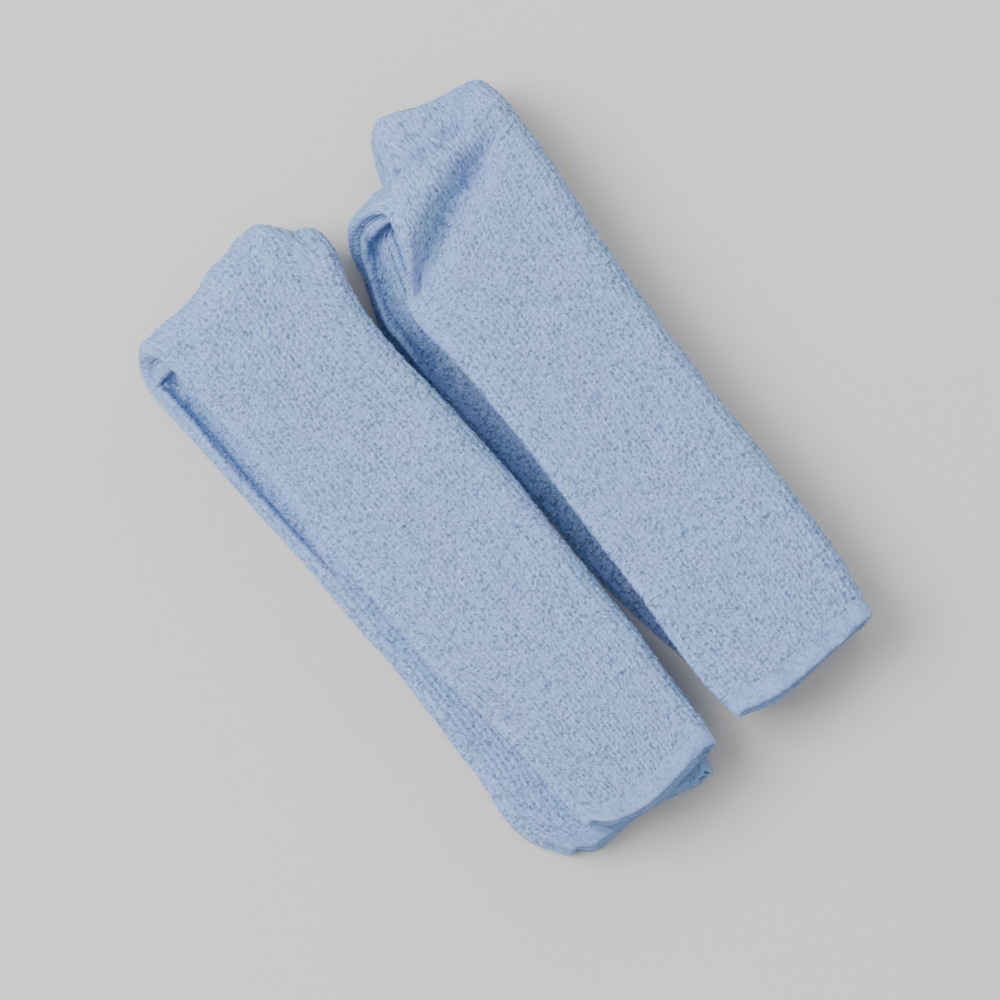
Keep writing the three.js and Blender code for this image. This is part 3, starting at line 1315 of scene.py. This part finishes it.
@dataclass
class Band:
    """A closed skin over the lines and rows of a route: the sheet itself, or a hem on it.

    Args:
        bundle: The shape that it lies in.
        lines: Its lines along the sheet.
        rows: Its rows across the sheet.
    """

    bundle: Bundle
    lines: Columns
    rows: Rows

    PLAIN_PILE = 0.5  # the pile's stamp where it isn't modelled

    def build(
        self,
        name: str,
        front: Callable[[Array, Array, Array, Array], tuple[Array, Array]],
        back: Callable[[Array, Array], Array],
    ) -> bpy.types.Mesh:
        """Makes the skin.

        Args:
            name: The mesh's name.
            front: From place, distance along, whether a point is closely modelled and how far
                its rows are pulled into cords, returns the pile and the offset of the front.
            back: From place and distance along, returns how far behind the back lies.

        Returns:
            The mesh.
        """
        lines = self.lines
        count = len(lines.place)
        zones = [self.rows.of_zone(z) for z in lines.zone]
        for i in range(count - 1):
            if lines.zone[i] is not lines.zone[i + 1]:
                zones[i] = np.union1d(zones[i], zones[i + 1])
        plain = self.rows.of_zone(Zone.HIDDEN)
        behind = [i for i in range(count) if lines.sparse[i] or i in (0, count - 1)]
        loop = [(i, False, zones[i]) for i in range(count)]
        loop += [(i, True, plain) for i in reversed(behind)]
        line_of = np.concatenate([np.full(len(rows), i) for i, _, rows in loop])
        row_of = np.concatenate([rows for _, _, rows in loop])
        is_back = np.concatenate([np.full(len(rows), b) for _, b, rows in loop])
        starts = np.concatenate([[0], np.cumsum([len(rows) for _, _, rows in loop])])
        numbers = [np.arange(starts[k], starts[k + 1]) for k in range(len(loop))]

        shell = Shell()
        for k in range(len(loop)):
            after = (k + 1) % len(loop)
            shell.strip(numbers[k], numbers[after], loop[k][2], loop[after][2])
        back_number = {i: numbers[count + k] for k, i in enumerate(reversed(behind))}
        for i, j in zip(behind[:-1], behind[1:], strict=True):
            for end, turned in ((0, True), (-1, False)):
                facing = [numbers[k][end] for k in range(i, j + 1)]
                ring = facing + [back_number[j][end], back_number[i][end]]
                shell.face(ring[::-1] if turned else ring)

        place = np.asarray(lines.place)[line_of]
        along = self.rows.place[row_of]
        close = np.array([z is not Zone.HIDDEN and z is not Zone.INNER for z in lines.zone])
        close = close[line_of] & ~is_back
        pile, ahead = front(place, along, close, np.asarray(lines.cord)[line_of])
        offset = np.where(is_back, -back(place, along), ahead)
        line = tuple(
            np.asarray(values)[line_of]
            for values in (lines.share, lines.shift, lines.out, lines.across, lines.outward)
        )
        row = (self.rows.along[row_of], self.rows.turn[row_of])
        mesh = shell.mesh(name, self.bundle.place(line, row, offset))
        flat = np.stack([place, along, np.where(is_back, BACK, 0.0)], axis=1)
        stamp(mesh, "lay", flat)
        stamp(mesh, "pile", np.where(is_back, self.PLAIN_PILE, pile))
        stamp(mesh, "modelled", close.astype(float))
        lay_out(mesh, flat, (float(place.max()), float(self.rows.place.max())))
        return mesh


# ---------------------------------------------------------------------------- the pieces


@dataclass(frozen=True)
class HemSize:
    """The turned band along an edge of the sheet, and the stitches that hold it.

    tuck is how far the sheet reaches under it, front and back how far its faces are from the
    sheet's middle, nose how far its edges round in, step and side_step the distances between its
    rows, and pucker how far the yarn and the stitches wrinkle it.
    """

    width: float = HEM_WIDTH
    tuck: float = 2.4 * MM
    front: float = 0.66 * MM
    back: float = 0.66 * MM
    nose: float = 0.9 * MM
    step: float = 0.45 * MM
    side_step: float = 1.1 * MM
    pucker: float = 0.17 * MM
    seam_dip: float = 0.20 * MM
    stitch_inset: float = 1.5 * MM
    stitch_pitch: float = 2.5 * MM
    stitch_length: float = 1.5 * MM
    stitch_radius: float = 0.24 * MM
    stitch_bow: float = 0.16 * MM
    stitch_jitter: float = 0.12 * MM

    RINGS = 7         # points along a stitch
    SIDES = 8         # and round it
    PROBE = 0.2 * MM  # how far off the cloth its facing is measured

    def rounding(self, from_edge: Array) -> Array:
        """Share of the full thickness at a distance from the nearest edge of the band."""
        t = np.clip(from_edge / self.nose, 0.0, 1.0)
        return np.sqrt(np.clip(1.0 - (1.0 - t) ** 2, 0.0, 1.0))


@dataclass(frozen=True)
class FoldedCloth:
    """One cloth: its sheet, its four hems and the stitches along its two end hems; the end hems and
    their stitches are tied to the frame.

    name is what its bodies' names start with, bundle its shape, and seed picks the pattern of its
    pile. step is the distance between the sheet's rows, and side_hem_step between the lines of a
    side hem. back is how far the sheet's back lies behind its middle, and edge_drop how far its
    pile drops to a hem. turn_play, the height over which the fold would turn, is not used. cord_run
    is where the cords fade out, counted from the bend, and cord_end how soon they do so past its
    top.
    """

    name: str
    bundle: Bundle
    seed: int
    hem: HemSize = HemSize()
    step: float = 0.42 * MM
    side_hem_step: float = 0.6 * MM
    back: float = 0.6 * MM
    edge_drop: float = 0.45 * MM
    turn_play: float = 0.9 * MM
    cord_run: tuple[float, float] = (20 * MM, 95 * MM)
    cord_end: float = 9 * MM

    @property
    def pile(self) -> Pile:
        """The loops of its terry."""
        return Pile(seed=self.seed)

    @property
    def whole(self) -> float:
        """Length of the sheet from end to end."""
        return 2 * self.bundle.straight + self.bundle.bend

    def build(self, terry: Material, hem: Material, thread: Material) -> list[bpy.types.Object]:
        """Makes every piece, ties the end hems and their stitches to the frame and hides the
        frame's parts that the pieces stand for.

        Args:
            terry: Finish of the sheet.
            hem: Finish of the hems.
            thread: Finish of the stitches.

        Returns:
            The pieces.
        """
        sheet = add_object(self._sheet(), terry)
        self._across_the_fold(sheet, ("panel",))
        pieces = []
        for part in Part:
            body = f"{self.name}_{part.value}"
            band = add_object(self._end_hem(part), hem)
            seam = add_object(self._stitches(part), thread)
            for made, node, slot in ((band, "end_hem", "hem"), (seam, "end_stitch", "stitching")):
                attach(made, body)
                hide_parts(f"{body}_{node}")
                pieces.append(made)
        outer = add_object(self._side_hem(2, "near_side_hem"), hem)
        self._across_the_fold(outer, ("side_hem",))
        inner = add_object(self._side_hem(4, "far_side_hem"), hem)
        self._across_the_fold(inner, ())
        pieces += [outer, inner]
        return [sheet, *pieces]

    def _across_the_fold(self, made: bpy.types.Object, nodes: Sequence[str]) -> None:
        """Bakes a piece's transform into its mesh and hides the frame's parts that it stands for.

        Args:
            made: The piece.
            nodes: Kinds of node that it stands for, on both halves.
        """
        lower, upper = (f"{self.name}_{part.value}" for part in Part)
        middle = self.bundle.middle
        start = (0.0, 0.0, middle - self.turn_play)
        end = (0.0, 0.0, middle + self.turn_play)
        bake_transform(made)
        for node in nodes:
            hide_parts(f"{lower}_{node}", f"{upper}_{node}")

    def _rows(self, step: float, start: float) -> Rows:
        """Rows over both halves, a step apart, with the first one start from the end."""
        bundle = self.bundle
        return Rows.whole(bundle.straight, bundle.bend, step, start, bundle.crowd)

    def _sheet(self) -> bpy.types.Mesh:
        """The terry itself, from hem to hem."""
        bundle, route, whole = self.bundle, self.bundle.route, self.whole
        rows = self._rows(self.step, self.hem.width - self.hem.tuck)
        ragged = SoftNoise(self.seed + 9, (2.3 * MM, 2.3 * MM))
        drift = SoftNoise(self.seed + 7, (30 * MM,))

        def front(place: Array, along: Array, close: Array, cord: Array) -> tuple[Array, Array]:
            """Loops, pulled into cords over the fold's edges and cut down at the hems."""
            loops, height = self.pile.offset(place, along)
            cords, raised = self.pile.cord(place, along, drift)
            from_bend = np.abs(along - whole / 2) - bundle.bend / 2
            past_top = along - whole / 2 - 0.25 * bundle.bend
            cord = cord * (1.0 - ramp(from_bend, *self.cord_run))
            cord = cord * (1.0 - 0.9 * ramp(past_top, 0.0, self.cord_end))
            from_hem = np.minimum(along, whole - along) - self.hem.width
            edge = ramp(from_hem + (0.9 + 1.3 * ragged(place, along)) * MM, 0.0, 1.2 * MM)
            loops = blend_between(loops, cords, cord) * edge
            height = blend_between(height, raised, cord)
            height = blend_between(-self.edge_drop, height, edge)
            return loops, route.half_thickness + np.where(close, height, 0.0)

        def back(place: Array, along: Array) -> Array:
            """A plain back."""
            return np.full(np.shape(place), self.back)

        return Band(bundle, route.columns(), rows).build(f"{self.name}_sheet", front, back)

    def _end_hem(self, part: Part) -> bpy.types.Mesh:
        """The hem at the end of one half, right round its six plies.

        Args:
            part: The half.

        Returns:
            The mesh.
        """
        size, bundle, whole = self.hem, self.bundle, self.whole
        steps = {"coarse": 1.1 * MM, "medium": 0.9 * MM, "fine": 0.6 * MM}
        lines = replace(bundle.route, tuck=size.width, **steps).columns()
        rows = Rows.hem(bundle.straight, bundle.bend, size.width, size.step, part)
        wave = SoftNoise(self.seed + 11, (1.9 * MM, 2.6 * MM))

        def thickness(along: Array) -> Array:
            """Share of the full thickness: round at the cut end, thinner at the terry."""
            from_end = np.minimum(along, whole - along)
            inner = size.rounding((size.width - from_end) * 1.4 + 0.3 * MM)
            return size.rounding(from_end) * inner

        def front(place: Array, along: Array, close: Array, cord: Array) -> tuple[Array, Array]:
            """Puckered yarn that dips at each stitch's ends."""
            from_end = np.minimum(along, whole - along)
            seam = hump(from_end, size.width - size.stitch_inset, 0.8 * MM)
            holes = 0.5 + 0.5 * np.cos(place / size.stitch_pitch * 2 * math.pi)
            waves = wave(place, along)
            height = size.front + size.pucker * waves - size.seam_dip * seam * holes
            return 0.62 + 0.2 * waves - 0.35 * seam * holes, height * thickness(along)

        def back(place: Array, along: Array) -> Array:
            """A plain back."""
            return size.back * thickness(along)

        return Band(bundle, lines, rows).build(f"{self.name}_{part.value}_hem", front, back)

    def _side_hem(self, ply: int, name: str) -> bpy.types.Mesh:
        """The hem on one free edge, inside the folded strip.

        Args:
            ply: The ply that ends in it.
            name: What the mesh is called, after the cloth's name.

        Returns:
            The mesh.
        """
        size = self.hem
        lines = self.bundle.route.edge_columns(ply, self.side_hem_step)
        rows = self._rows(size.side_step, size.width + 0.2 * MM)
        wave = SoftNoise(self.seed + 13, (3 * MM, 2.4 * MM))

        def thickness(place: Array) -> Array:
            """Share of the full thickness: round at both edges."""
            return size.rounding(np.minimum(place, size.width - place) + 0.05 * MM)

        def front(place: Array, along: Array, close: Array, cord: Array) -> tuple[Array, Array]:
            """Puckered yarn."""
            waves = wave(place, along)
            return 0.6 + 0.2 * waves, (size.front + size.pucker * waves) * thickness(place)

        def back(place: Array, along: Array) -> Array:
            """A plain back."""
            return size.back * thickness(place)

        return Band(self.bundle, lines, rows).build(f"{self.name}_{name}", front, back)

    def _stitches(self, part: Part) -> bpy.types.Mesh:
        """A row of short stitches along the hem at the end of one half.

        Args:
            part: The half.

        Returns:
            The mesh.
        """
        size, bundle = self.hem, self.bundle
        lines = replace(bundle.route, tuck=size.width).columns()
        rng = np.random.default_rng(self.seed + 17)
        starts = np.arange(1.5 * MM, lines.place[-1] - 3 * MM, size.stitch_pitch)
        along = (size.width - size.stitch_inset) / bundle.straight
        turn = 0.0 if part is Part.LOWER else math.pi
        rings, sides = size.RINGS, size.SIDES
        bow = np.sin(np.linspace(0.0, math.pi, rings))
        level = size.front - size.stitch_bow + size.stitch_bow * bow
        girth = size.stitch_radius * np.sqrt(np.clip(bow, 0.04, None))[:, None, None]
        angles = np.linspace(0.0, 2 * math.pi, sides, endpoint=False)[None, :, None]
        points, polygons = [], Shell()
        for number, start in enumerate(starts):
            jitter = rng.uniform(-1.0, 1.0, 3) * size.stitch_jitter
            line = lines.at(start + jitter[0] + np.linspace(0.0, size.stitch_length, rings))
            row = (np.full(rings, along + jitter[1] / bundle.straight), np.full(rings, turn))
            centre = bundle.place(line, row, level)
            normal = bundle.place(line, row, level + size.PROBE) - centre
            normal /= np.linalg.norm(normal, axis=1, keepdims=True)
            forward = np.gradient(centre, axis=0)
            forward /= np.linalg.norm(forward, axis=1, keepdims=True)
            side = np.cross(forward, normal)[:, None, :]
            round_it = np.cos(angles) * normal[:, None, :] + np.sin(angles) * side
            points.append((centre[:, None, :] + girth * round_it).reshape(-1, 3))
            polygons.tube(number * rings * sides, rings, sides)
        mesh = polygons.mesh(f"{self.name}_{part.value}_stitches", np.concatenate(points))
        stamp(mesh, "lay", np.concatenate(points))
        return mesh


# ---------------------------------------------------------------------------- the surroundings


@dataclass(frozen=True)
class Camera:
    """Where the pair is seen from: high above the hems, turned so that it lies aslant.

    right and up are the picture's directions on the floor. elevation is in degrees, and lens and
    sensor are in millimetres.
    """

    target: tuple[float, float, float] = (-0.0085, -0.0035, 0.024)
    right: tuple[float, float, float] = (0.7793, -0.6266, 0.0)
    up: tuple[float, float, float] = (0.6266, 0.7793, 0.0)
    elevation: float = 80.0
    distance: float = 2.0
    lens: float = 244.0
    sensor: float = 36.0

    def build(self) -> None:
        """Makes the scene's camera."""
        data = bpy.data.cameras.new("camera")
        data.lens = self.lens
        data.sensor_width = self.sensor
        made = bpy.data.objects.new("camera", data)
        bpy.context.scene.collection.objects.link(made)
        tilt = math.radians(self.elevation)
        right, up = Vector(self.right).normalized(), Vector(self.up).normalized()
        back = (-up * math.cos(tilt) + Vector((0, 0, 1)) * math.sin(tilt)).normalized()
        top = back.cross(right)
        spot = Vector(self.target) + back * self.distance
        turned = Matrix((right, top, back)).transposed().to_4x4()
        made.matrix_world = Matrix.Translation(spot) @ turned
        bpy.context.scene.camera = made


@dataclass(frozen=True)
class Light:
    """One soft square lamp, aimed at the pair, with its side in metres and power in watts."""

    name: str
    spot: tuple[float, float, float]
    side: float
    power: float
    colour: tuple[float, float, float]

    def build(self) -> None:
        """Makes the lamp."""
        data = bpy.data.lights.new(self.name, "AREA")
        data.shape = "SQUARE"
        data.size = self.side
        data.energy = self.power
        data.color = self.colour
        made = bpy.data.objects.new(self.name, data)
        bpy.context.scene.collection.objects.link(made)
        made.location = self.spot
        made.rotation_euler = (-Vector(self.spot)).to_track_quat("-Z", "Y").to_euler()


@dataclass(frozen=True)
class Studio:
    """A plain pale floor under even light, with a large lamp behind and a warm one beside."""

    floor: float = 6.0
    ambient: float = 0.84
    tint: Colour = (1.0, 0.995, 0.985, 1.0)
    lamps: tuple[Light, ...] = (
        Light("key", (-1.05, 0.95, 1.7), side=1.5, power=76.5, colour=(1.0, 0.99, 0.965)),
        Light("fill", (1.25, 0.75, 0.8), side=0.8, power=7.0, colour=(1.0, 0.88, 0.74)),
    )

    def build(self) -> None:
        """Makes the floor, the world and the lamps."""
        half = self.floor / 2
        corners = [(-half, -half, 0), (half, -half, 0), (half, half, 0), (-half, half, 0)]
        mesh = bpy.data.meshes.new("floor")
        mesh.from_pydata(corners, [], [(0, 1, 2, 3)])
        floor = add_object(mesh, PaperFinish().material())
        floor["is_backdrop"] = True
        world = bpy.data.worlds.new("studio")
        world.use_nodes = True
        shade = world.node_tree.nodes["Background"]
        shade.inputs["Color"].default_value = self.tint
        shade.inputs["Strength"].default_value = self.ambient
        bpy.context.scene.world = world
        for lamp in self.lamps:
            lamp.build()


# ---------------------------------------------------------------------------- the scene


def first_bundle(route: PlyRoute, middle: float) -> Bundle:
    """The left cloth's shape.

    Args:
        route: The sheet's route through the plies.
        middle: Height of the plane between the halves.

    Returns:
        The shape.
    """
    right = ((0.3, -1.3), (0.5, -0.8), (0.7, -2.4), (0.82, -3.7), (0.92, -2.8), (1, 0.9))
    lower = Half(
        left=Curve(
            (
                (0, -57.0), (0.05, -63.0), (0.2, -63.2), (0.4, -62.6), (0.65, -63.8),
                (0.85, -65.6), (1, -67.2),
            )
        ),
        right=Curve(((0, -8.0), (0.1, -4.4), *right)),
        end=Curve(((0, -96.5), (0.1, -99.5), (0.2, -99.8), (0.6, -98.3), (1, -101.5))),
    )
    upper = Half(
        left=Curve(
            (
                (0, -50.0), (0.1, -50.8), (0.2, -52.0), (0.33, -55.0), (0.6, -56.6),
                (0.85, -58.0), (1, -59.6),
            )
        ),
        right=Curve(((0, -3.2), (0.08, -2.4), *right)),
        end=Curve(((0, -95.0), (0.1, -98.6), (0.25, -100.5), (0.6, -100.6), (1, -98.5))),
    )
    return FirstBundle(
        lower=lower,
        upper=upper,
        bend_centre=93.2 * MM,
        middle=middle,
        route=route,
        fan=Curve(((0, 0.5), (0.25, 0.8), (0.6, 2.2), (0.8, 3.0), (1, 3.5))),
        seed=31,
    )


def second_bundle(route: PlyRoute, middle: float) -> Bundle:
    """The right cloth's shape.

    Args:
        route: The sheet's route through the plies.
        middle: Height of the plane between the halves.

    Returns:
        The shape.
    """
    right = Curve(
        (
            (0, 57.0), (0.1, 59.5), (0.17, 60.4), (0.36, 61.6), (0.55, 62.5), (0.7, 64.4),
            (0.87, 67.6), (1, 69.0),
        )
    )
    lower = Half(
        left=Curve(
            (
                (0, 9.0), (0.08, 7.4), (0.16, 5.0), (0.26, 2.6), (0.5, 1.8), (0.66, 0.2),
                (0.8, -1.9), (0.86, -1.8), (0.92, 0.6), (1, 5.2),
            )
        ),
        right=right,
        end=Curve(((0, -93.0), (0.3, -94.0), (0.6, -95.0), (1, -96.0))),
    )
    upper = Half(
        left=Curve(
            (
                (0, 5.4), (0.06, 4.2), (0.14, 4.3), (0.24, 5.6), (0.35, 6.2), (0.55, 7.6),
                (0.72, 7.0), (0.81, 6.2), (0.86, 7.4), (0.9, 10.4), (0.95, 15.0), (1, 16.5),
            )
        ),
        right=right,
        end=Curve(((0, -97.6), (0.2, -99.8), (0.6, -99.8), (1, -98.4))),
    )
    return SecondBundle(
        lower=lower,
        upper=upper,
        bend_centre=93.0 * MM,
        middle=middle,
        route=route,
        fan=Curve(((0, 0.3), (1, 1.0))),
        seed=47,
        slack=14 * MM,
        crowd=3.2,
    )


def main() -> None:
    """Builds both cloths and the studio around the frame."""
    logging.basicConfig(level=logging.INFO, format="%(message)s", stream=sys.stdout)
    route = PlyRoute()
    pile = Pile()
    terry = TerryFinish().material(pile.row, pile.pitch)
    hem = HemFinish().material()
    thread = ThreadFinish().material()
    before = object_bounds()
    middle = round(before[1][2] / 2, 6)  # to the micrometre
    cloths = (
        FoldedCloth("cloth_a", first_bundle(route, middle), seed=5),
        FoldedCloth("cloth_b", second_bundle(route, middle), seed=23),
    )
    for cloth in cloths:
        for made in cloth.build(terry, hem, thread):
            LOG.info("%s: %d faces", made.name, len(made.data.polygons))
    Studio().build()
    Camera().build()


if __name__ == "__main__":
    main()
